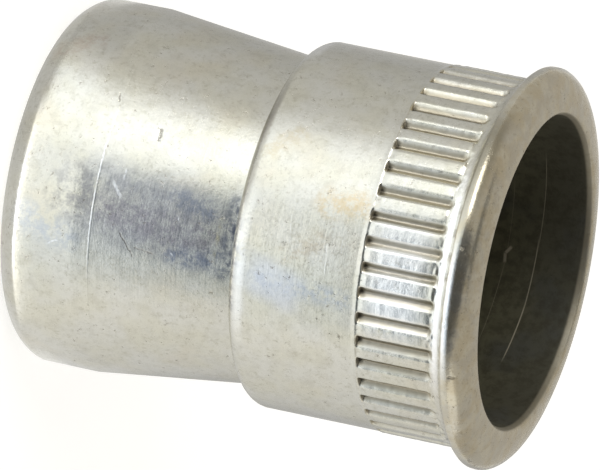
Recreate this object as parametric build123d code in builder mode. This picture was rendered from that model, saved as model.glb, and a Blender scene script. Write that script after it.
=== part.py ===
from build123d import *
from math import radians, sin
import os

os.makedirs("parts", exist_ok=True)

# Lengths along the axis, in mm, stacked from the tail's end face up to the lip
end_rounding_length = 0.76
land_length = 1.84
taper_length = 0.72
cone_length = 4.94
shoulder_rise = 0.21
plain_length = 4.18
crest_lead = 0.12
knurl_length = 2.62
underhead_rise = 0.46
rim_thickness = 0.28
edge_rise = 0.395
crown_rise = 0.205

# Hole, in mm: a plain counterbore from the lip to the neck, then the tapped length
thread_minor_radius = 4.00
thread_chamfer = 0.85
counterbore_step = 0.34
floor_below_neck = 0.21

# Steps outward from the hole, in mm
web_thickness = 0.225
neck_depth = 0.705
crest_step = 0.038
flange_overhang = 0.58
land_step = 0.03
taper_step = 0.08
end_face_width = 0.45

# Roundings and bevels, in mm
end_bulge = 0.14
shoulder_rounding = 0.32
seat_width = 0.06
rim_bevel = 0.09
edge_reach = 0.35
underhead_rounding = 0.25
underhead_turn = 42
lip_rounding = 0.25
lip_turn = 45
mouth_bevel_width = 0.07
mouth_bevel_length = 0.14

# Knurl: straight grooves cut round the sleeve under the flange, in mm
tooth_count = 45
groove_width = 0.46
groove_floor_width = 0.08
groove_depth = 0.165
groove_overrun = 0.10
groove_end_gap = 0.06

# Heights that follow from the lengths
land_low = end_rounding_length
land_high = land_low + land_length
cone_high = land_high + taper_length
neck_height = cone_high + cone_length
shoulder_height = neck_height + shoulder_rise
plain_high = shoulder_height + plain_length
knurl_low = plain_high + crest_lead
knurl_high = knurl_low + knurl_length
seat_height = knurl_high + underhead_rise
rim_height = seat_height + rim_thickness
crown_height = rim_height + edge_rise
lip_height = crown_height + crown_rise
counterbore_floor = neck_height - floor_below_neck

# Radii that follow from the steps
thread_mouth_radius = thread_minor_radius + thread_chamfer
counterbore_radius = thread_mouth_radius + counterbore_step
neck_radius = counterbore_radius + web_thickness
sleeve_radius = neck_radius + neck_depth
crest_radius = sleeve_radius + crest_step
flange_radius = sleeve_radius + flange_overhang
land_radius = sleeve_radius - land_step
cone_radius = land_radius - taper_step
end_radius = thread_mouth_radius + end_face_width
seat_outer_radius = flange_radius - rim_bevel
seat_inner_radius = seat_outer_radius - seat_width
mouth_radius = counterbore_radius + mouth_bevel_width
lip_radius = mouth_radius + lip_rounding * sin(radians(lip_turn))

with BuildPart() as rivet_nut:
    # Body: one turned section, from the tail up the outside to the lip and down the hole
    with BuildSketch(Plane.XZ):
        with BuildLine():
            Line((thread_mouth_radius, 0), (end_radius, 0))
            SagittaArc((end_radius, 0), (land_radius, land_low), -end_bulge)
            Polyline(
                (land_radius, land_low),
                (land_radius, land_high),
                (cone_radius, cone_high),
                (neck_radius, neck_height),
            )
            FilletPolyline(
                (neck_radius, neck_height),
                (sleeve_radius, shoulder_height),
                (sleeve_radius, plain_high),
                radius=shoulder_rounding,
            )
            Polyline(
                (sleeve_radius, plain_high),
                (crest_radius, knurl_low),
                (crest_radius, knurl_high),
            )
            underhead = JernArc(
                start=(crest_radius, knurl_high),
                tangent=(0, 1),
                radius=underhead_rounding,
                arc_size=-underhead_turn,
            )
            Polyline(
                underhead @ 1,
                (seat_inner_radius, seat_height),
                (seat_outer_radius, seat_height),
                (flange_radius, seat_height + rim_bevel),
                (flange_radius, rim_height),
            )
            crown = TangentArc(
                (lip_radius, lip_height),
                (flange_radius - edge_reach, crown_height),
                tangent=(1, 0),
            )
            TangentArc(crown @ 1, (flange_radius, rim_height), tangent=crown % 1)
            lip = JernArc(
                start=(lip_radius, lip_height),
                tangent=(-1, 0),
                radius=lip_rounding,
                arc_size=lip_turn,
            )
            Polyline(
                lip @ 1,
                lip @ 1 - (mouth_bevel_width, mouth_bevel_length),
                (counterbore_radius, counterbore_floor),
                (thread_mouth_radius, counterbore_floor),
                (thread_minor_radius, counterbore_floor - thread_chamfer),
                (thread_minor_radius, thread_chamfer),
                (thread_mouth_radius, 0),
            )
        make_face()
    revolve(axis=Axis.Z)

    # Knurl: one groove section, spread round the sleeve and cut up to the underhead fillet
    flank_spread = (groove_width - groove_floor_width) / groove_depth * groove_overrun
    with BuildSketch(Plane.XY.offset(knurl_low)):
        with PolarLocations(crest_radius, tooth_count):
            Polygon(
                (groove_overrun, (groove_width + flank_spread) / 2),
                (-groove_depth, groove_floor_width / 2),
                (-groove_depth, -groove_floor_width / 2),
                (groove_overrun, -(groove_width + flank_spread) / 2),
                align=None,
            )
    extrude(amount=knurl_length - groove_end_gap, mode=Mode.SUBTRACT)

rivet_nut.part.label = "rivet_nut"
export_step(rivet_nut.part, "parts/rivet_nut.step")
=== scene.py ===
import math
from types import SimpleNamespace

import bpy
import numpy as np
from mathutils import Matrix, Vector


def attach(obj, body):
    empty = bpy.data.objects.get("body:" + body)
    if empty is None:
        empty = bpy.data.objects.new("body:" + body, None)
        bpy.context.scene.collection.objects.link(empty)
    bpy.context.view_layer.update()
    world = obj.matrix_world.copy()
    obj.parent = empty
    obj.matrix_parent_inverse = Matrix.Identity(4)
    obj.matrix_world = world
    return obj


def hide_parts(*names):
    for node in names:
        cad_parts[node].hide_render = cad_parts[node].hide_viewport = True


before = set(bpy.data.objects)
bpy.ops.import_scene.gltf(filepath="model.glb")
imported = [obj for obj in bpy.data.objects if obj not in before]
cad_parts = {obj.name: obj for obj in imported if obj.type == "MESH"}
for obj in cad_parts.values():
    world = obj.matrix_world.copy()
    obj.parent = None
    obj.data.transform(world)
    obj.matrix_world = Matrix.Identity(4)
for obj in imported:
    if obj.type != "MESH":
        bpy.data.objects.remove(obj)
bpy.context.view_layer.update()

MM = 0.001
NODE = "rivet_nut"
BODY = "root"

# Outside of the part, as (radius, height) in mm from the tail's end face up to the lip
THREAD_MOUTH = 4.85
END_FACE_EDGE = (5.30, 0.0)
LAND_LOW = (6.09, 0.76)
LAND_HIGH = (6.10, 2.60)
CREASE = (6.01, 3.32)
NECK = (5.415, 8.26)
SHOULDER_TOP = (6.12, 8.74)
SLEEVE_TOP = (6.12, 12.65)
CREST_LOW = (6.158, 12.77)
CREST_HIGH = (6.158, 15.39)
SEAT_INNER = (6.55, 15.85)
SEAT_OUTER = (6.61, 15.85)
RIM_LOW = (6.698, 15.95)
RIM_HIGH = (6.698, 16.15)
CROWN_EDGE = (6.35, 16.525)
LIP_TOP = (5.437, 16.726)
LIP_INNER = (5.26, 16.655)
MOUTH = (5.19, 16.50)
FLOOR_HEIGHT = 8.05

# How far the section's curved stretches stand out, in mm
END_BULGE = 0.14
SHOULDER_BULGE = 0.26
UNDERHEAD_BULGE = -0.10
EDGE_BULGE = 0.052
CROWN_BULGE = 0.035
LIP_BULGE = 0.03

# The section's points: the mm from one to the next, and the mm that its corners are rounded over
POINT_STEP = 0.005
CORNER_REACH = 0.022

# The shell's rows: how many in all, how many to a mm in the hole and outside, how many more where the section
# bends, and the stretches that get more, as (height, height, rows to a mm)
SHELL_ROWS = 182
HOLE_DENSITY = 2.0
OUTSIDE_DENSITY = 5.0
BEND_DENSITY = 2.2
MOST_BEND_DENSITY = 60.0
POINTS_PAST_TOP = 60
DENSE_STRETCHES = ((12.5, 15.7, 15.0), (12.68, 13.05, 34.0), (15.2, 15.65, 26.0))

# The mm past the top over which the outside's finish gives way to the hole's
HOLE_FADE = 0.60

# Knurl in mm: grooves between crests, and how much the grooves differ in place, width, depth and ends
TEETH = 45
TOOTH_ANGLE = 2 * math.pi / TEETH
CREST_RADIUS = CREST_LOW[0]
COLUMN_OFFSETS = (0.0, 0.05, 0.12, 0.19, 0.235, 0.31)
GROOVE_HALF = 0.235
GROOVE_ROUNDING = 0.10
GROOVE_DEPTH = 0.165
PLACE_SPREAD = 0.012
WIDTH_SPREAD = 0.07
DEPTH_SPREAD = 0.08
START_SPREAD = 0.02
START_SLOPE = (0.02, 0.06)
END_GAP = 0.06
END_SPREAD = 0.06
END_SLOPE = 0.10
PIT_LENGTH = 0.30
PIT_DEPTH = 0.25
CREST_LEAD = 0.24
CREST_FALL = 0.030
CREST_CROWN = 0.022
CREST_DENTS = 0.006
BURR_REACH = 0.13
BURR_HEIGHT = 0.060

# Unevenness of the turned surface in mm, the radii over which the outside's relief starts, and the heights
# over which the unevenness fades in and out
UNEVENNESS = 0.0035
RELIEF_RADII = (5.5, 5.9)
FADE_IN = (0.0, 0.5)
FADE_OUT = (16.0, 16.1)

# Thread in mm, 3/8-16: its crest's and root's shares of a pitch, and how far the depth is filled
PITCH = 25.4 / 16
MINOR = 4.00
MAJOR = 4.7625
THREAD_CREST = 0.125
THREAD_ROOT = 0.25
THREAD_FILL = 0.96
THREAD_ROWS = 14
THREAD_COLUMNS = 108

# Marks on the outside: start, end, half width and strength. Each end is the distance round from the x axis and
# the height, in mm
SCRATCHES = (
    ((-0.34, 3.80), (0.30, 4.24), 0.075, 1.00),
    ((-0.80, 4.18), (-0.30, 4.17), 0.050, 0.70),
    ((2.25, 1.85), (2.00, 2.35), 0.045, 0.80),
    ((1.34, 1.46), (1.12, 1.55), 0.025, 0.50),
    ((1.80, 6.08), (1.96, 6.18), 0.050, 0.90),
    ((0.47, 6.16), (0.72, 6.22), 0.040, 0.70),
    ((-0.56, 10.12), (0.72, 10.25), 0.018, 0.50),
    ((0.22, 11.51), (1.43, 11.57), 0.022, 0.60),
    ((0.06, 12.00), (0.71, 12.02), 0.018, 0.50),
)
NICKS = (
    ((-2.35, 4.93), (-2.00, 4.97), 0.10, 0.80),
    ((1.45, 4.36), (2.20, 4.85), 0.035, 0.55),
    ((1.84, 4.90), (1.97, 5.50), 0.035, 0.55),
    ((-3.30, 3.23), (-3.00, 3.29), 0.05, 0.60),
    ((3.70, 16.24), (3.73, 16.34), 0.09, 0.60),
    ((7.89, 16.27), (8.11, 16.28), 0.06, 0.60),
)

# Stains and painted shade on the outside: start, end, half width, colour and strength
STAINS_AND_PAINTED_SHADE = (
    # Painted shade: the dark bluish patch over the cone and the sleeve's foot, laid into the colour
    ((0.40, 3.0), (1.00, 7.6), 1.9, (0.19, 0.19, 0.22), 0.54),
    ((0.80, 4.2), (1.20, 6.9), 0.95, (0.28, 0.20, 0.21), 0.46),
    ((1.95, 6.2), (1.85, 7.7), 0.55, (0.13, 0.17, 0.26), 0.72),
    ((-0.15, 6.1), (0.15, 7.1), 0.55, (0.18, 0.22, 0.30), 0.62),
    # Dirt and painted shade along the neck's crease: the dark bluish band, the dark line and the grey band; the
    # gold line is a stain
    ((-0.40, 7.98), (2.30, 7.85), 0.36, (0.14, 0.16, 0.20), 0.70),
    ((0.30, 7.60), (1.90, 7.52), 0.09, (0.80, 0.72, 0.42), 0.60),
    ((-0.20, 8.10), (2.20, 8.06), 0.10, (0.08, 0.09, 0.13), 0.90),
    ((-3.60, 8.35), (3.20, 8.35), 0.22, (0.22, 0.22, 0.22), 0.90),
    # The rest are stains and tints
    ((1.40, 1.1), (1.92, 2.5), 0.80, (0.44, 0.48, 0.54), 0.50),
    ((-0.96, 11.3), (-1.08, 12.4), 0.75, (0.62, 0.48, 0.27), 0.60),
    ((0.98, 10.2), (0.29, 11.2), 0.55, (0.50, 0.43, 0.32), 0.50),
    ((1.98, 9.3), (2.09, 12.2), 0.55, (0.42, 0.46, 0.52), 0.55),
    ((-2.30, 8.8), (-3.03, 9.6), 0.60, (0.58, 0.50, 0.34), 0.45),
    ((-4.52, 0.7), (-5.30, 1.7), 0.60, (0.52, 0.40, 0.32), 0.35),
    ((-3.70, 16.3), (-2.50, 16.5), 0.60, (0.58, 0.44, 0.26), 0.45),
    ((-0.60, 16.34), (3.00, 16.30), 0.24, (0.20, 0.20, 0.20), 0.60),
)

# Painted shade and painted reflection tints with smooth edges, in the same terms: a bluish painted shade over
# the dark patch, a pale bluish painted reflection tint on the sleeve, and painted shade on the shoulder and the
# rim that dims their highlights
PAINTED_SHADE_AND_TINTS = (
    ((0.50, 2.2), (0.90, 8.6), 1.85, (0.37, 0.385, 0.43), 0.46),
    ((1.60, 8.5), (2.40, 11.2), 0.95, (0.58, 0.605, 0.665), 0.45),
    ((-5.60, 8.40), (0.60, 8.40), 0.27, (0.34, 0.32, 0.27), 0.80),
    ((-5.80, 16.08), (-0.60, 16.08), 0.42, (0.24, 0.22, 0.16), 0.65),
)

# Painted highlights, laid as near-white bands on the shoulder, the underhead, the rim, the tail's rounding, the
# crease and the crests: start, end, half width and strength
PAINTED_HIGHLIGHTS = (
    ((-1.40, 8.64), (5.20, 8.60), 0.32, 0.40),
    ((-9.00, 8.60), (-6.40, 8.60), 0.30, 0.50),
    ((-4.40, 15.60), (6.20, 15.60), 0.30, 0.90),
    ((-1.00, 16.02), (4.20, 16.02), 0.16, 0.95),
    ((-1.20, 0.75), (4.00, 0.75), 0.08, 1.00),
    ((-3.00, 3.33), (3.60, 3.33), 0.040, 0.60),
    ((-1.60, 14.0), (3.90, 14.0), 1.45, 0.85),
)

# Painted highlights: bright glint lines on the counterbore's far wall: start, end, half width and strength
BORE_GLINTS = (
    ((4.60, 15.16), (0.25, 14.99), 0.022, 0.60),
    ((1.31, 14.99), (-2.04, 14.96), 0.026, 0.80),
    ((-0.82, 14.99), (-3.60, 14.84), 0.030, 1.00),
    ((3.40, 14.00), (-0.80, 13.94), 0.016, 0.35),
    ((0.30, 13.95), (-3.10, 13.80), 0.020, 0.50),
    ((0.62, 14.12), (0.30, 13.88), 0.08, 1.00),
    ((0.40, 13.90), (-0.02, 13.95), 0.08, 0.90),
)

# The finish's noises, as (cells to a mm, detail, roughness). The spots are noises too, with the value where a
# spot starts and the one where it is full
NOISES = {
    "mottle": (1.5, 3.0, 0.55),
    "grain": (11.0, 3.0, 0.60),
    "patches": (1.3, 4.0, 0.65),
    "blotches": (2.6, 5.0, 0.72),
}
SPOTS = {
    "pits": (4.3, 4.0, 0.70, 0.615, 0.74),
    "freckles": (5.5, 3.0, 0.75, 0.52, 0.70),
    "cloud": (0.42, 3.0, 0.60, 0.50, 0.70),
    "haze": (0.8, 2.0, 0.50, 0.35, 0.70),
}

# Turning rings: cells to a mm round the part and along it, and how much finer the second set is
RINGS_AROUND = 0.22
RINGS_ALONG = 9.0
FINE_RINGS = 3.6

# The radius in mm at which the outside is unrolled for its marks, and the noise that shakes them: cells to a
# mm, and reach in mm
OUTER_RADIUS = 6.1
SHAKE_SCALE = 6.0
SHAKE_REACH = 0.10

# Colours of the finish, from the metal out, and of the hole, with painted highlights and painted shade among
# them
PLATING = (0.636, 0.623, 0.554)
YELLOWED = (0.620, 0.600, 0.500)
CLOUD_TINT = (0.60, 0.51, 0.37)
BLOTCH_TINT = (0.42, 0.41, 0.35)
PATCH_TINT = (0.46, 0.43, 0.34)
FRECKLE_TINT = (0.36, 0.34, 0.26)
FLANGE_TINT = (0.61, 0.56, 0.43)
FLANGE_BROWN = (0.50, 0.43, 0.29)
FLANGE_GREY = (0.50, 0.50, 0.47)
SPECK_BROWN = (0.30, 0.25, 0.16)
PIT_DARK = (0.19, 0.16, 0.12)
NICK_DARK = (0.16, 0.14, 0.11)
HIGHLIGHT_WHITE = (0.96, 0.96, 0.94)
GROOVE_DIRT_AND_SHADE = (0.33, 0.285, 0.20)
GROOVE_END_DIRT_AND_SHADOW = (0.09, 0.08, 0.06)
SCRATCH_BRIGHT = (0.85, 0.85, 0.84)
LIP_PAINTED_SHADE = (0.31, 0.29, 0.23)
BORE_SHADE_TOP = (0.155, 0.151, 0.115)
BORE_SHADE_DEEP = (0.300, 0.290, 0.195)
BORE_CLOUD = (0.150, 0.155, 0.145)
BORE_BLOTCH = (0.090, 0.082, 0.055)
BORE_GLINT = (0.60, 0.56, 0.46)

# What the metal reflects round it: (bearing, brightness, blueness), bearings as for the lamps
NEAR_SHADES = (
    (-80, 0.80, 0.0), (-60, 0.50, 0.0), (-20, 0.55, 0.0), (4, 0.56, 0.0), (20, 0.60, 0.0),
    (34, 0.90, 0.0), (46, 1.58, 0.04), (66, 1.60, 0.04), (80, 1.40, 0.04), (100, 1.52, 0.04),
    (120, 1.15, 0.06), (140, 1.05, 0.02), (160, 1.02, 0.0), (180, 0.92, 0.0), (200, 0.82, 0.0),
    (220, 0.75, 0.0), (240, 0.60, 0.0), (260, 0.64, 0.0), (280, 0.80, 0.0),
)
FAR_SHADES = (
    (-80, 0.78, 0.0), (-60, 0.52, 0.0), (-40, 0.50, 0.0), (-20, 0.60, 0.0), (0, 0.68, 0.0),
    (20, 0.76, 0.0), (36, 1.06, 0.02), (50, 1.39, 0.04), (64, 1.42, 0.04), (80, 1.48, 0.04),
    (100, 1.60, 0.03), (120, 1.50, 0.06), (140, 1.25, 0.03), (160, 1.10, 0.0), (180, 0.94, 0.0),
    (200, 0.86, 0.0), (220, 0.75, 0.0), (240, 0.50, 0.0), (260, 0.60, 0.0), (280, 0.78, 0.0),
)
WALL_SHADES = (
    (-80, 0.76, 0.0), (-60, 0.54, 0.0), (-40, 0.54, 0.0), (-20, 0.62, 0.0), (0, 0.68, 0.0),
    (20, 0.72, 0.0), (34, 0.96, 0.02), (46, 1.46, 0.04), (62, 1.52, 0.04), (74, 1.36, 0.04),
    (82, 0.60, 0.10), (92, 0.17, 0.22), (124, 0.13, 0.28), (142, 0.48, 0.10), (154, 0.88, 0.0),
    (180, 0.93, 0.0), (200, 0.94, 0.0), (220, 0.76, 0.0), (240, 0.48, 0.0), (260, 0.48, 0.0),
    (280, 0.76, 0.0),
)
GLINT_SHADES = (
    (-80, 1.20, 0.0), (-20, 0.90, 0.0), (20, 0.55, 0.0), (60, 0.60, 0.0), (76, 2.20, 0.0),
    (130, 2.20, 0.0), (160, 0.90, 0.0), (220, 1.10, 0.0), (280, 1.20, 0.0),
)
FOOT_SHADES = (
    (-80, 1.40, 0.0), (-40, 1.45, 0.0), (-20, 1.10, 0.0), (0, 0.80, 0.0), (20, 0.69, 0.0),
    (40, 0.67, 0.0), (80, 0.70, 0.0), (100, 0.84, 0.0), (140, 0.86, 0.0), (170, 0.95, 0.0),
    (200, 1.15, 0.0), (220, 1.45, 0.0), (240, 1.50, 0.0), (260, 1.00, 0.0), (280, 1.40, 0.0),
)
FLAG_SHADES = ((66, 0.40, 0.0), (78, 0.12, 0.0), (136, 0.12, 0.0), (152, 0.45, 0.0))

# The cards that carry those shades: name, near and far edge as (distance, height) in mm, and shades
CARDS = (
    ("foot_paper", (5.35, 0.05), (6.75, 0.05), FOOT_SHADES),
    ("glint_paper", (6.75, 0.05), (7.9, 0.05), GLINT_SHADES),
    ("near_paper", (7.9, 0.05), (15.0, 0.05), NEAR_SHADES),
    ("far_paper", (15.0, 0.05), (50.0, 0.05), FAR_SHADES),
    ("wall_card", (50.0, 0.05), (50.0, 14.0), WALL_SHADES),
    ("front_flag", (75.0, 14.0), (45.0, 120.0), FLAG_SHADES),
    ("over_flag", (45.0, 120.0), (-55.0, 120.0), FLAG_SHADES),
)
CARD_COLUMNS = 96

# Surroundings and floor
WORLD_COLOUR = (0.56, 0.53, 0.48, 1.0)
FLOOR_COLOUR = (0.80, 0.80, 0.80, 1.0)
FLOOR_GLOW = 0.56
FLOOR_HALF = 2.5
LAMP_AIM = Vector((0.0, 0.0, 8.0 * MM))

# Camera: how far the part's axis is rolled and turned from the view, and where the rim's centre falls
ROLL = math.radians(11.558)
TURN = math.radians(71.519)
FACING = math.radians(91.0)
RIM_CENTRE = Vector((0.0, 0.0, 16.13 * MM))
RIM_PIXEL = (519.45, 268.88)
DISTANCE = 0.4257
FOCAL_PIXELS = 13045.0
PICTURE = (600, 470)
SENSOR = 36.0


def noise_table(seed, rows, columns):
    """A table of random numbers from -1 to 1, the same in each run."""
    return np.random.default_rng(seed).uniform(-1.0, 1.0, (rows, columns))


def ring_noise(seed, angles, heights, around, step):
    """Smooth noise round the axis: around cells round it, one cell each step mm along it."""
    table = noise_table(seed, 400, around)
    u = (angles / (2 * math.pi)) % 1.0 * around
    v = heights / step + 40.0
    iu, iv = np.floor(u).astype(int), np.floor(v).astype(int)
    fu, fv = u - iu, v - iv
    fu, fv = fu * fu * (3 - 2 * fu), fv * fv * (3 - 2 * fv)
    a, b = table[iv, iu % around], table[iv, (iu + 1) % around]
    c, d = table[iv + 1, iu % around], table[iv + 1, (iu + 1) % around]
    return (a * (1 - fu) + b * fu) * (1 - fv) + (c * (1 - fu) + d * fu) * fv


def smoothstep(low, high, value):
    """0 below low, 1 above high and a smooth rise between them."""
    t = np.clip((value - low) / (high - low), 0.0, 1.0)
    return t * t * (3 - 2 * t)


def straight(a, b):
    """Points from a to b, without b."""
    count = max(2, int(math.dist(a, b) / POINT_STEP))
    return [(a[0] + (b[0] - a[0]) * i / count, a[1] + (b[1] - a[1]) * i / count) for i in range(count)]


def bulged(a, b, bulge):
    """Points on an arc from a to b, without b, which stands out by bulge on the right of the way there."""
    chord = math.dist(a, b)
    radius = (chord * chord / 4 + bulge * bulge) / (2 * abs(bulge))
    along = ((b[0] - a[0]) / chord, (b[1] - a[1]) / chord)
    side = (along[1], -along[0])
    count = max(2, int(chord / POINT_STEP))
    points = []
    for i in range(count):
        x = (i / count - 0.5) * chord
        rise = math.sqrt(radius * radius - x * x) - (radius - abs(bulge))
        rise = math.copysign(rise, bulge)
        gone = x + chord / 2
        points.append((a[0] + along[0] * gone + side[0] * rise, a[1] + along[1] * gone + side[1] * rise))
    return points


def section():
    """The turned section, as close points from the thread's mouth on the tail face round to its upper end."""
    floor_edge = (MOUTH[0], FLOOR_HEIGHT)
    thread_top = (THREAD_MOUTH, FLOOR_HEIGHT)
    points = straight((THREAD_MOUTH, 0.0), END_FACE_EDGE)
    points += bulged(END_FACE_EDGE, LAND_LOW, END_BULGE)
    points += straight(LAND_LOW, LAND_HIGH)
    points += straight(LAND_HIGH, CREASE)
    points += straight(CREASE, NECK)
    points += bulged(NECK, SHOULDER_TOP, SHOULDER_BULGE)
    points += straight(SHOULDER_TOP, SLEEVE_TOP)
    points += straight(SLEEVE_TOP, CREST_LOW)
    points += straight(CREST_LOW, CREST_HIGH)
    points += bulged(CREST_HIGH, SEAT_INNER, UNDERHEAD_BULGE)
    points += straight(SEAT_INNER, SEAT_OUTER)
    points += straight(SEAT_OUTER, RIM_LOW)
    points += straight(RIM_LOW, RIM_HIGH)
    points += bulged(RIM_HIGH, CROWN_EDGE, EDGE_BULGE)
    points += bulged(CROWN_EDGE, LIP_TOP, CROWN_BULGE)
    points += bulged(LIP_TOP, LIP_INNER, LIP_BULGE)
    points += straight(LIP_INNER, MOUTH)
    points += straight(MOUTH, floor_edge)
    points += straight(floor_edge, thread_top)
    points.append(thread_top)
    return np.array(points)


def eased(points, reach):
    """The same line with its corners rounded over about reach mm, its ends kept."""
    width = int(reach / POINT_STEP)
    kernel = np.exp(-0.5 * (np.arange(-3 * width, 3 * width + 1) / width) ** 2)
    kernel /= kernel.sum()
    padded = np.pad(points, ((3 * width, 3 * width), (0, 0)), mode="reflect", reflect_type="odd")
    return np.stack([np.convolve(padded[:, k], kernel, mode="valid") for k in range(2)], axis=1)


def row_density(height, outside):
    """Rows to each mm of the section."""
    density = np.where(outside, OUTSIDE_DENSITY, HOLE_DENSITY)
    for low, high, rows in DENSE_STRETCHES:
        density = np.where(outside & (height > low) & (height < high), rows, density)
    return density


def section_rows():
    """(radius, height, length along the section, 1 inside the hole) at each row of the shell."""
    line = eased(section(), CORNER_REACH)
    step = np.diff(line, axis=0)
    length = np.concatenate([[0.0], np.cumsum(np.hypot(step[:, 0], step[:, 1]))])
    heading = np.unwrap(np.arctan2(step[:, 1], step[:, 0]))
    bend = np.abs(np.diff(heading, prepend=heading[0])) / np.hypot(step[:, 0], step[:, 1])
    top = int(np.argmax(line[:, 1]))
    outside = np.arange(len(line)) <= top + POINTS_PAST_TOP
    density = row_density(line[:, 1], outside)[1:] + np.minimum(bend * BEND_DENSITY, MOST_BEND_DENSITY)
    total = np.concatenate([[0.0], np.cumsum(density * np.diff(length))])
    at = np.interp(np.linspace(0.0, total[-1], SHELL_ROWS), total, length)
    radius = np.interp(at, length, line[:, 0])
    height = np.interp(at, length, line[:, 1])
    inside = smoothstep(length[top], length[top] + HOLE_FADE, at)
    return radius, height, at, inside


def column_angles():
    """The columns' angles: twelve to a tooth, close together over each groove's flanks."""
    offsets = sorted({-o for o in COLUMN_OFFSETS} | set(COLUMN_OFFSETS))
    angles = [offset / CREST_RADIUS for offset in offsets] + [TOOTH_ANGLE / 2]
    return np.concatenate([np.array(angles) + k * TOOTH_ANGLE for k in range(TEETH)])


def from_groove(angles):
    """The distance round the crests in mm from the middle of the nearest groove, and that groove's number."""
    groove = np.round(angles / TOOTH_ANGLE)
    return (angles - groove * TOOTH_ANGLE) * CREST_RADIUS, groove.astype(int) % TEETH


def groove_shape(angles, heights):
    """How deep the knurl lies below the crests, and how much dirt and painted shade its colour gets, most in
    the pit at the tail end, where the painted shade stands for a shadow.
    """
    offset, groove = from_groove(angles)
    vary = noise_table(7, 6, TEETH)
    offset = np.abs(offset + PLACE_SPREAD * vary[0][groove])
    half = GROOVE_HALF * (1 + WIDTH_SPREAD * vary[1][groove])
    depth = GROOVE_DEPTH * (1 + DEPTH_SPREAD * vary[2][groove])
    slope = np.hypot(offset, GROOVE_ROUNDING)
    across = np.clip((half - slope) / (half - GROOVE_ROUNDING), 0.0, 1.0)
    start = CREST_LOW[1] + START_SPREAD * vary[3][groove]
    end = CREST_HIGH[1] - END_GAP + END_SPREAD * vary[4][groove]
    along = smoothstep(start - START_SLOPE[0], start + START_SLOPE[1], heights)
    along = along * (1 - smoothstep(end - END_SLOPE, end + END_SLOPE, heights))
    pit = 1 - smoothstep(start, start + PIT_LENGTH, heights)
    return depth * across * along * (1.0 + PIT_DEPTH * pit), across * along * (1.0 + pit)


def crest_relief(angles, heights):
    """Sloping ends, rounded edges and small dents of the crests, in mm outwards."""
    offset = np.abs(from_groove(angles)[0])
    crest = smoothstep(GROOVE_HALF - 0.06, GROOVE_HALF + 0.06, offset)
    fall = -CREST_FALL * (1 - smoothstep(CREST_LOW[1], CREST_LOW[1] + CREST_LEAD, heights))
    edge = -CREST_CROWN * (1 - offset / (CREST_RADIUS * TOOTH_ANGLE / 2)) ** 2
    dents = CREST_DENTS * ring_noise(11, angles, heights, 360, 0.14)
    knurl = smoothstep(CREST_LOW[1] - 0.05, CREST_LOW[1] + 0.05, heights)
    knurl = knurl * (1 - smoothstep(CREST_HIGH[1] - 0.02, CREST_HIGH[1] + 0.12, heights))
    return knurl * (crest * fall + edge + dents)


def burr_relief(angles, heights):
    """Metal torn up where the crests run out under the flange, in mm outwards."""
    place = np.exp(-((heights - CREST_HIGH[1] + 0.02) / BURR_REACH) ** 2)
    coarse = ring_noise(23, angles, heights, 200, 0.09)
    fine = ring_noise(29, angles, heights, 520, 0.07)
    return place * (coarse * 0.6 + fine * 0.4) * BURR_HEIGHT


def wobble(angles, heights):
    """The slight unevenness of a turned and tumbled surface, in mm outwards."""
    slow = ring_noise(3, angles, heights, 26, 1.7)
    middle = ring_noise(5, angles, heights, 70, 0.62)
    return UNEVENNESS * (0.65 * slow + 0.35 * middle)


def placed(name, data):
    """An object for a mesh, lamp or camera, put in the scene."""
    made = bpy.data.objects.new(name, data)
    bpy.context.scene.collection.objects.link(made)
    return made


def skin(name, radius, turn, height, quads, **numbers):
    """A smooth mesh piece from points round the axis, in mm, with the numbers that its material reads."""
    points = np.stack([radius * np.cos(turn), radius * np.sin(turn), height], axis=-1).reshape(-1, 3) * MM
    mesh = bpy.data.meshes.new(name)
    mesh.from_pydata(points.tolist(), [], quads.tolist())
    for key, values in numbers.items():
        layer = mesh.attributes.new(key, "FLOAT", "POINT")
        layer.data.foreach_set("value", np.ascontiguousarray(values.reshape(-1), dtype=np.float32))
    mesh.validate()
    mesh.shade_smooth()
    return placed(name, mesh)


def make_shell():
    """The whole outside, the lip and the counterbore as one skin, closed round the axis."""
    radius, height, run, inside = section_rows()
    turn, row = np.meshgrid(column_angles(), height)
    r, along, hole = (np.repeat(values[:, None], turn.shape[1], axis=1) for values in (radius, run, inside))
    outer = (1 - hole) * smoothstep(*RELIEF_RADII, r)
    # How deep the grooves are, and how much dirt and painted shade their colour gets
    depth, dirt_and_shade = groove_shape(turn, row)
    ends = smoothstep(*FADE_IN, row) * (1 - smoothstep(*FADE_OUT, row))
    r = r - outer * depth
    r = r + outer * (crest_relief(turn, row) + burr_relief(turn, row))
    r = r + outer * ends * np.clip(1 - dirt_and_shade, 0, 1) * wobble(turn, row) - UNEVENNESS * outer * ends
    index = np.arange(r.size).reshape(r.shape)
    after = np.roll(index, -1, axis=1)
    quads = np.stack([index[:-1], after[:-1], after[1:], index[1:]], axis=-1).reshape(-1, 4)
    return skin("shell", r, turn, row, quads, run=along, recess=dirt_and_shade * outer, hole=hole)


def thread_radius(phase):
    """The tapped hole's radius over one pitch, from crest to root and back."""
    fall = np.abs((phase % 1.0) - 0.5) * 2
    flank = 1.0 - THREAD_CREST - THREAD_ROOT
    depth = np.clip((1.0 - THREAD_CREST - fall) / flank, 0.0, 1.0)
    return MINOR + (MAJOR - MINOR) * depth * THREAD_FILL


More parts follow.
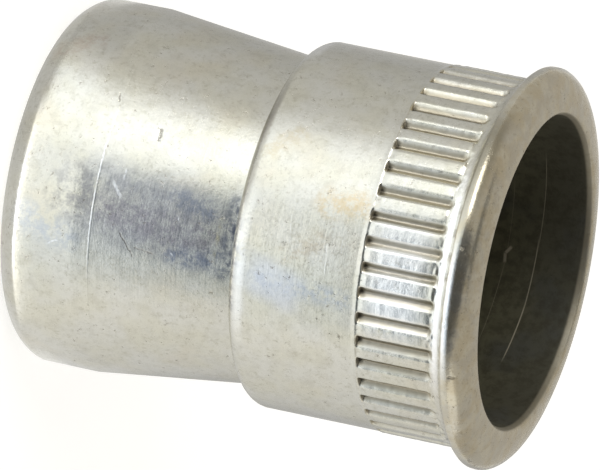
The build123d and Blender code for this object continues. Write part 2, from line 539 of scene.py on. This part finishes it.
def make_thread():
    """The right-hand thread, with a chamfer at each end."""
    turns = FLOOR_HEIGHT / PITCH
    starts = (np.arange(int((turns + 1) * THREAD_ROWS) + 2) / THREAD_ROWS - 1.0) * PITCH
    turn, start = np.meshgrid(np.linspace(0.0, 2 * math.pi, THREAD_COLUMNS + 1), starts)
    climb = PITCH * turn / (2 * math.pi)
    z = np.clip(start + climb, 0.0, FLOOR_HEIGHT)
    chamfer = np.maximum(THREAD_MOUTH - z, THREAD_MOUTH - (FLOOR_HEIGHT - z))
    r = np.maximum(thread_radius((z - climb) / PITCH), chamfer)
    index = np.arange(z.size).reshape(z.shape)
    quads = np.stack([index[1:, :-1], index[1:, 1:], index[:-1, 1:], index[:-1, :-1]], axis=-1).reshape(-1, 4)
    # The quads that the two ends press flat are left out
    tall = np.ptp(z.reshape(-1)[quads], axis=1) > PITCH / THREAD_COLUMNS * 1.01
    return skin("thread", r, turn, z, quads[tall], run=z, recess=np.zeros(z.size), hole=np.ones(z.size))


class Tree:
    """Short ways to add and link a material's nodes."""

    def __init__(self, name):
        self.material = bpy.data.materials.new(name)
        self.material.use_nodes = True
        self.nodes = self.material.node_tree.nodes
        self.links = self.material.node_tree.links
        self.nodes.clear()

    def put(self, socket, value):
        """A number, a vector, a colour or another node's output goes into a socket."""
        if isinstance(value, bpy.types.NodeSocket):
            self.links.new(value, socket)
        elif socket.type == "RGBA":
            socket.default_value = (*value[:3], 1.0)
        else:
            socket.default_value = value

    def add(self, kind, **inputs):
        """A node of a kind, with its inputs filled by name."""
        node = self.nodes.new(kind)
        for key, value in inputs.items():
            self.put(node.inputs[key], value)
        return node

    def finished(self, shader):
        """The material, with a shader as its surface."""
        self.links.new(shader.outputs[0], self.nodes.new("ShaderNodeOutputMaterial").inputs[0])
        return self.material

    def math(self, operation, a, b=0.0, clamp=False):
        """An operation on two numbers, its result kept from 0 to 1 if clamped."""
        node = self.nodes.new("ShaderNodeMath")
        node.operation = operation
        node.use_clamp = clamp
        self.put(node.inputs[0], a)
        self.put(node.inputs[1], b)
        return node.outputs[0]

    def vector(self, operation, a, b=None, scale=None):
        """An operation on vectors, whose result is a number for a length or a dot product."""
        node = self.nodes.new("ShaderNodeVectorMath")
        node.operation = operation
        self.put(node.inputs[0], a)
        if b is not None:
            self.put(node.inputs[1], b)
        if scale is not None:
            self.put(node.inputs["Scale"], scale)
        return node.outputs["Value"] if operation in ("LENGTH", "DOT_PRODUCT") else node.outputs[0]

    def attribute(self, name, output="Fac"):
        """What the mesh carries under a name, as a number or a colour."""
        node = self.nodes.new("ShaderNodeAttribute")
        node.attribute_name = name
        return node.outputs[output]

    def noise(self, place, scale, detail, roughness):
        """Smooth noise from 0 to 1."""
        node = self.add("ShaderNodeTexNoise", Vector=place, Scale=scale, Detail=detail, Roughness=roughness)
        return node.outputs["Fac"]

    def between(self, value, low, high):
        """0 at low, 1 at high, smooth between them."""
        node = self.nodes.new("ShaderNodeMapRange")
        node.interpolation_type = "SMOOTHSTEP"
        self.put(node.inputs["Value"], value)
        node.inputs["From Min"].default_value = low
        node.inputs["From Max"].default_value = high
        return node.outputs["Result"]

    def mixed(self, amount, a, b):
        """Colour a where the amount is 0, colour b where it is 1."""
        node = self.nodes.new("ShaderNodeMix")
        node.data_type = "RGBA"
        for socket, value in ((0, amount), (6, a), (7, b)):
            self.put(node.inputs[socket], value)
        return node.outputs[2]

    def coat(self, under, tone, strength, mask, *masks):
        """A colour laid over another where all its masks are 1, at a strength."""
        for other in masks:
            mask = self.math("MULTIPLY", mask, other)
        return self.mixed(self.math("MULTIPLY", mask, strength), under, tone)

    def weighted(self, total, *terms):
        """A number plus other numbers, each given after its weight."""
        for weight, value in terms:
            total = self.math("ADD", total, self.math("MULTIPLY", value, weight))
        return total

    def streak(self, place, start, end, width, soft, taper):
        """1 within a mark from start to end, fading out towards its width and over its ends' share."""
        reach = (end[0] - start[0], end[1] - start[1], 0.0)
        square = reach[0] ** 2 + reach[1] ** 2
        away = self.vector("SUBTRACT", place, (start[0], start[1], 0.0))
        along = self.vector("DOT_PRODUCT", away, tuple(c / square for c in reach))
        along = self.math("ADD", along, 0.0, clamp=True)
        nearest = self.vector("SCALE", reach, scale=along)
        gap = self.vector("LENGTH", self.vector("SUBTRACT", away, nearest))
        amount = self.between(gap, width, width * soft)
        if taper:
            middle = self.math("ABSOLUTE", self.math("SUBTRACT", along, 0.5))
            amount = self.math("MULTIPLY", amount, self.between(middle, 0.5, 0.5 - taper))
        return amount

    def ring(self, height, centre, half):
        """1 on a ring round the part at a height, fading out at half its width."""
        gap = self.math("ABSOLUTE", self.math("SUBTRACT", height, centre))
        return self.between(gap, half, 0.0)


def turning_rings(tree, parts, run):
    """Coarse and fine rings left by the lathe, as two noises stretched round the axis."""
    place = tree.add(
        "ShaderNodeCombineXYZ",
        X=tree.math("MULTIPLY", parts.outputs["X"], RINGS_AROUND),
        Y=tree.math("MULTIPLY", parts.outputs["Y"], RINGS_AROUND),
        Z=tree.math("MULTIPLY", run, RINGS_ALONG),
    ).outputs[0]
    return tree.noise(place, 1.0, 3.0, 0.6), tree.noise(place, FINE_RINGS, 2.0, 0.6)


def unrolled(tree, parts, radius, side):
    """The surface unrolled: distance round it in mm from the line on that side of the x axis, and height."""
    y = tree.math("MULTIPLY", parts.outputs["Y"], side)
    x = tree.math("MULTIPLY", parts.outputs["X"], side)
    around = tree.math("MULTIPLY", tree.math("ARCTAN2", y, x), radius)
    return tree.add("ShaderNodeCombineXYZ", X=around, Y=parts.outputs["Z"]).outputs[0]


def shaken(tree, place, flat):
    """Places on the unrolled surface moved a little by a noise, so that marks on them run unevenly."""
    noise = tree.add("ShaderNodeTexNoise", Vector=place, Scale=SHAKE_SCALE, Detail=1.0)
    move = tree.vector("SUBTRACT", noise.outputs["Color"], (0.5, 0.5, 0.5))
    return tree.vector("ADD", flat, tree.vector("SCALE", move, scale=SHAKE_REACH))


def marked(tree, place, marks, soft, taper):
    """How strongly any of several marks covers each point."""
    total = 0.0
    for start, end, width, strength in marks:
        amount = tree.math("MULTIPLY", tree.streak(place, start, end, width, soft, taper), strength)
        total = tree.math("MAXIMUM", total, amount)
    return total


def metal_masks(tree):
    """What the finish's colour, roughness and relief share: places, noises, spots and marks."""
    place = tree.vector("SCALE", tree.add("ShaderNodeTexCoord").outputs["Object"], scale=1 / MM)
    parts = tree.add("ShaderNodeSeparateXYZ", Vector=place)
    m = SimpleNamespace(height=parts.outputs["Z"])
    m.hole, m.recess = tree.attribute("hole"), tree.attribute("recess")
    m.coarse, m.fine = turning_rings(tree, parts, tree.attribute("run"))
    for name, (scale, detail, roughness) in NOISES.items():
        setattr(m, name, tree.noise(place, scale, detail, roughness))
    for name, (scale, detail, roughness, low, high) in SPOTS.items():
        setattr(m, name, tree.between(tree.noise(place, scale, detail, roughness), low, high))
    m.outer = shaken(tree, place, unrolled(tree, parts, OUTER_RADIUS, 1.0))
    inner = unrolled(tree, parts, MOUTH[0], -1.0)
    broken = tree.between(m.grain, 0.34, 0.50)
    m.scratches = tree.math("MULTIPLY", marked(tree, m.outer, SCRATCHES, 0.4, 0.25), broken)
    m.nicks = tree.math("MULTIPLY", marked(tree, m.outer, NICKS, 0.3, 0.0), broken)
    patchy = tree.between(m.patches, 0.25, 0.45)
    # Painted highlights, broken up by patches
    m.worn = tree.math("MULTIPLY", marked(tree, m.outer, PAINTED_HIGHLIGHTS, 0.25, 0.35), patchy)
    m.bore_lines = tree.math("MULTIPLY", marked(tree, inner, BORE_GLINTS, 0.3, 0.25), m.hole)
    m.lip = tree.between(m.hole, 0.01, 0.20)
    return m


def metal_colour(tree, m):
    """The outside's colour from the plating out to its tints, stains, painted shade, pits, painted highlights,
    dirt and painted shade in the grooves, scratches and the lip's painted shade.
    """
    colour = tree.mixed(m.haze, PLATING, YELLOWED)
    colour = tree.coat(colour, CLOUD_TINT, 0.18, m.cloud)
    colour = tree.coat(colour, BLOTCH_TINT, 0.22, tree.between(m.blotches, 0.42, 0.68))
    colour = tree.coat(colour, PATCH_TINT, 0.18, tree.between(m.patches, 0.50, 0.70))
    colour = tree.coat(colour, FRECKLE_TINT, 0.34, m.freckles)
    ragged = tree.between(m.blotches, 0.38, 0.62)
    # Stains, with painted shade over the dark patch and along the neck
    for start, end, width, tone, strength in STAINS_AND_PAINTED_SHADE:
        streak = tree.streak(m.outer, start, end, width, 0.15, 0.0)
        colour = tree.coat(colour, tone, strength, streak, ragged)
    flange = tree.between(m.height, 15.3, 16.1)
    colour = tree.coat(colour, FLANGE_TINT, 0.50, flange)
    colour = tree.coat(colour, FLANGE_BROWN, 0.50, flange, tree.between(m.mottle, 0.40, 0.60))
    colour = tree.coat(colour, FLANGE_GREY, 0.35, flange, tree.between(m.patches, 0.44, 0.60))
    # Painted shade and painted reflection tints, smooth-edged
    for start, end, width, tone, strength in PAINTED_SHADE_AND_TINTS:
        colour = tree.coat(colour, tone, strength, tree.streak(m.outer, start, end, width, 0.4, 0.35))
    crown = tree.between(m.height, 16.0, 16.3)
    colour = tree.coat(colour, SPECK_BROWN, 0.30, crown, tree.between(m.freckles, 0.2, 1.0))
    colour = tree.coat(colour, PIT_DARK, 0.62, m.pits)
    colour = tree.coat(colour, NICK_DARK, 0.8, m.nicks)
    # Painted highlights: near-white bands on the edges, the crease, the shoulder and the crests
    colour = tree.coat(colour, HIGHLIGHT_WHITE, 1.0, m.worn)
    # Dirt and painted shade in the knurl's grooves, and dirt with a painted shadow in the pits at their tail
    # ends
    colour = tree.coat(colour, GROOVE_DIRT_AND_SHADE, 0.70, tree.between(m.recess, 0.18, 0.85))
    colour = tree.coat(colour, GROOVE_END_DIRT_AND_SHADOW, 0.85, tree.between(m.recess, 1.0, 1.7))
    colour = tree.coat(colour, SCRATCH_BRIGHT, 0.75, m.scratches)
    # The lip is darkened with painted shade that dims its highlight
    return tree.coat(colour, LIP_PAINTED_SHADE, 0.75, m.lip)


def bore_colour(tree, m):
    """The hole's colour: painted shade, darker and duller, lighter towards its depth, with a few painted glint
    lines.
    """
    colour = tree.mixed(tree.between(m.height, 16.4, 13.0), BORE_SHADE_TOP, BORE_SHADE_DEEP)
    colour = tree.coat(colour, BORE_CLOUD, 0.6, m.cloud)
    colour = tree.coat(colour, BORE_BLOTCH, 0.50, tree.between(m.blotches, 0.40, 0.66))
    # Painted highlights: glint lines on the far wall
    return tree.coat(colour, BORE_GLINT, 1.0, m.bore_lines)


def metal_roughness(tree, m):
    """The plating's roughness, more where it is pitted, dirty or in the hole."""
    return tree.weighted(
        0.13,
        (0.12, m.coarse),
        (0.10, m.grain),
        (0.40, m.lip),
        (0.40, tree.between(m.hole, 0.2, 0.9)),
        (0.22, m.recess),
        (0.20, m.pits),
    )


def metal_relief(tree, m):
    """The finest relief in mm outwards: mottle, turning rings, grain, pits, nicks and a ring at the crease."""
    return tree.weighted(
        0.0,
        (0.010, m.mottle),
        (0.0026, m.coarse),
        (0.0010, m.fine),
        (0.0040, m.grain),
        (-0.004, m.pits),
        (-0.012, m.nicks),
        (0.003, tree.ring(m.height, CREASE[1] + 0.02, 0.05)),
    )


def plated_metal():
    """Satin zinc plating: a faint yellow cast, turning rings, dark pits, stains and short scratches, with
    painted shade and painted highlights in its colour and the hole painted dark.
    """
    tree = Tree("plated_metal")
    m = metal_masks(tree)
    # Past the lip the colour gives way to the hole's painted shade
    colour = tree.mixed(tree.between(m.hole, 0.42, 0.62), metal_colour(tree, m), bore_colour(tree, m))
    bump = tree.add("ShaderNodeBump", Strength=1.0, Distance=MM, Height=metal_relief(tree, m))
    tangent = tree.nodes.new("ShaderNodeTangent")
    tangent.direction_type = "RADIAL"
    tangent.axis = "Z"
    shader = tree.nodes.new("ShaderNodeBsdfPrincipled")
    shader.inputs["Metallic"].default_value = 1.0
    shader.inputs["Anisotropic"].default_value = 0.65
    shader.inputs["Anisotropic Rotation"].default_value = 0.25
    tree.put(shader.inputs["Tangent"], tangent.outputs[0])
    tree.put(shader.inputs["Base Color"], colour)
    tree.put(shader.inputs["Roughness"], metal_roughness(tree, m))
    tree.put(shader.inputs["Normal"], bump.outputs["Normal"])
    return tree.finished(shader)


def floor_material():
    """Pale matt floor, seen white by the camera and in reflections, and keeping its shadow."""
    tree = Tree("floor")
    light = tree.nodes.new("ShaderNodeLightPath")
    seen = tree.math("MAXIMUM", light.outputs["Is Camera Ray"], light.outputs["Is Glossy Ray"])
    seen = tree.math("MAXIMUM", seen, light.outputs["Is Transmission Ray"])
    shader = tree.nodes.new("ShaderNodeBsdfPrincipled")
    shader.inputs["Base Color"].default_value = FLOOR_COLOUR
    shader.inputs["Roughness"].default_value = 0.9
    shader.inputs["Emission Color"].default_value = (1.0, 1.0, 1.0, 1.0)
    tree.put(shader.inputs["Emission Strength"], tree.math("MULTIPLY", seen, FLOOR_GLOW))
    return tree.finished(shader)


def make_floor():
    """A wide plain floor under the part."""
    mesh = bpy.data.meshes.new("floor")
    half = FLOOR_HALF
    corners = [(-half, -half, 0), (half, -half, 0), (half, half, 0), (-half, half, 0)]
    mesh.from_pydata(corners, [], [(0, 1, 2, 3)])
    mesh.materials.append(floor_material())
    placed("floor", mesh)


def view_axes():
    """The part's axes in the camera's terms: right, down and forward."""
    along = Vector((math.sin(TURN) * math.cos(ROLL), math.sin(TURN) * math.sin(ROLL), -math.cos(TURN)))
    top = Vector((math.sin(ROLL), -math.cos(ROLL), 0.0))
    near = Vector((-math.cos(TURN) * math.cos(ROLL), -math.cos(TURN) * math.sin(ROLL), -math.sin(TURN)))
    x_axis = math.cos(FACING) * top + math.sin(FACING) * near
    y_axis = -math.sin(FACING) * top + math.cos(FACING) * near
    return Matrix((x_axis, y_axis, along))


def add_camera():
    """A long lens from the photo's direction, rolled as the photo is."""
    to_part = view_axes()
    scale = DISTANCE / FOCAL_PIXELS
    right, down = ((RIM_PIXEL[k] - PICTURE[k] / 2) * scale for k in range(2))
    columns = (to_part @ Vector((1, 0, 0)), to_part @ Vector((0, -1, 0)), to_part @ Vector((0, 0, -1)))
    matrix = Matrix(columns).transposed().to_4x4()
    matrix.translation = RIM_CENTRE - to_part @ Vector((right, down, DISTANCE))
    data = bpy.data.cameras.new("camera")
    data.sensor_width = SENSOR
    data.lens = FOCAL_PIXELS * SENSOR / PICTURE[0]
    data.clip_start = 0.01
    data.clip_end = 20.0
    camera = placed("camera", data)
    camera.matrix_world = matrix
    bpy.context.scene.camera = camera


def lamp(name, bearing, height, distance, size, brightness):
    """A soft lamp aimed at the part. Bearing is in degrees from the photo's top towards its viewer."""
    turn = math.radians(bearing) - FACING
    rise = math.radians(height)
    away = Vector((math.cos(rise) * math.cos(turn), math.cos(rise) * math.sin(turn), math.sin(rise)))
    data = bpy.data.lights.new(name, "AREA")
    data.shape = "RECTANGLE"
    data.size, data.size_y = size
    data.energy = brightness * math.pi * size[0] * size[1]
    light = placed(name, data)
    light.location = LAMP_AIM + away * distance
    light.rotation_euler = away.to_track_quat("Z", "Y").to_euler()


def card(name, near, far, shades):
    """A card round the part, from (distance, height) near to far in mm, that only reflections show."""
    bearings = np.linspace(shades[0][0], shades[-1][0], CARD_COLUMNS)
    knots, glows, blues = zip(*shades)
    glow = np.interp(bearings, knots, glows)
    blue = np.interp(bearings, knots, blues)
    colours = np.stack([glow * (1 - blue), glow, glow * (1 + blue), np.ones(CARD_COLUMNS)], axis=-1)
    turns = np.radians(bearings) - FACING
    ends = [(d * np.cos(turns), d * np.sin(turns), np.full(CARD_COLUMNS, h)) for d, h in (near, far)]
    points = np.concatenate([np.stack(end, axis=-1) for end in ends]) * MM
    faces = [(i, i + 1, CARD_COLUMNS + i + 1, CARD_COLUMNS + i) for i in range(CARD_COLUMNS - 1)]
    mesh = bpy.data.meshes.new(name)
    mesh.from_pydata(points.tolist(), [], faces)
    layer = mesh.attributes.new("shade", "FLOAT_COLOR", "POINT")
    layer.data.foreach_set("color", np.concatenate([colours, colours]).astype(np.float32).reshape(-1))
    tree = Tree(name)
    shade = tree.attribute("shade", "Color")
    mesh.materials.append(tree.finished(tree.add("ShaderNodeEmission", Color=shade, Strength=1.0)))
    piece = placed(name, mesh)
    piece.visible_camera = False
    piece.visible_shadow = False
    piece.visible_diffuse = False


def light_studio():
    """Plain grey surroundings, soft lamps, and the cards that shape the metal's reflections."""
    world = bpy.data.worlds.new("world")
    world.use_nodes = True
    world.node_tree.nodes["Background"].inputs["Color"].default_value = WORLD_COLOUR
    world.node_tree.nodes["Background"].inputs["Strength"].default_value = 1.0
    bpy.context.scene.world = world
    lamp("key", bearing=52.0, height=9.0, distance=0.34, size=(0.21, 0.15), brightness=6.5)
    lamp("fill", bearing=185.0, height=24.0, distance=0.40, size=(0.26, 0.30), brightness=0.55)
    for name, near, far, shades in CARDS:
        card(name, near, far, shades)


material = plated_metal()
for piece in (make_shell(), make_thread()):
    piece.data.materials.append(material)
    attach(piece, BODY)
    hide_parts(NODE)
make_floor()
light_studio()
add_camera()
bpy.context.scene.view_settings.view_transform = "Standard"
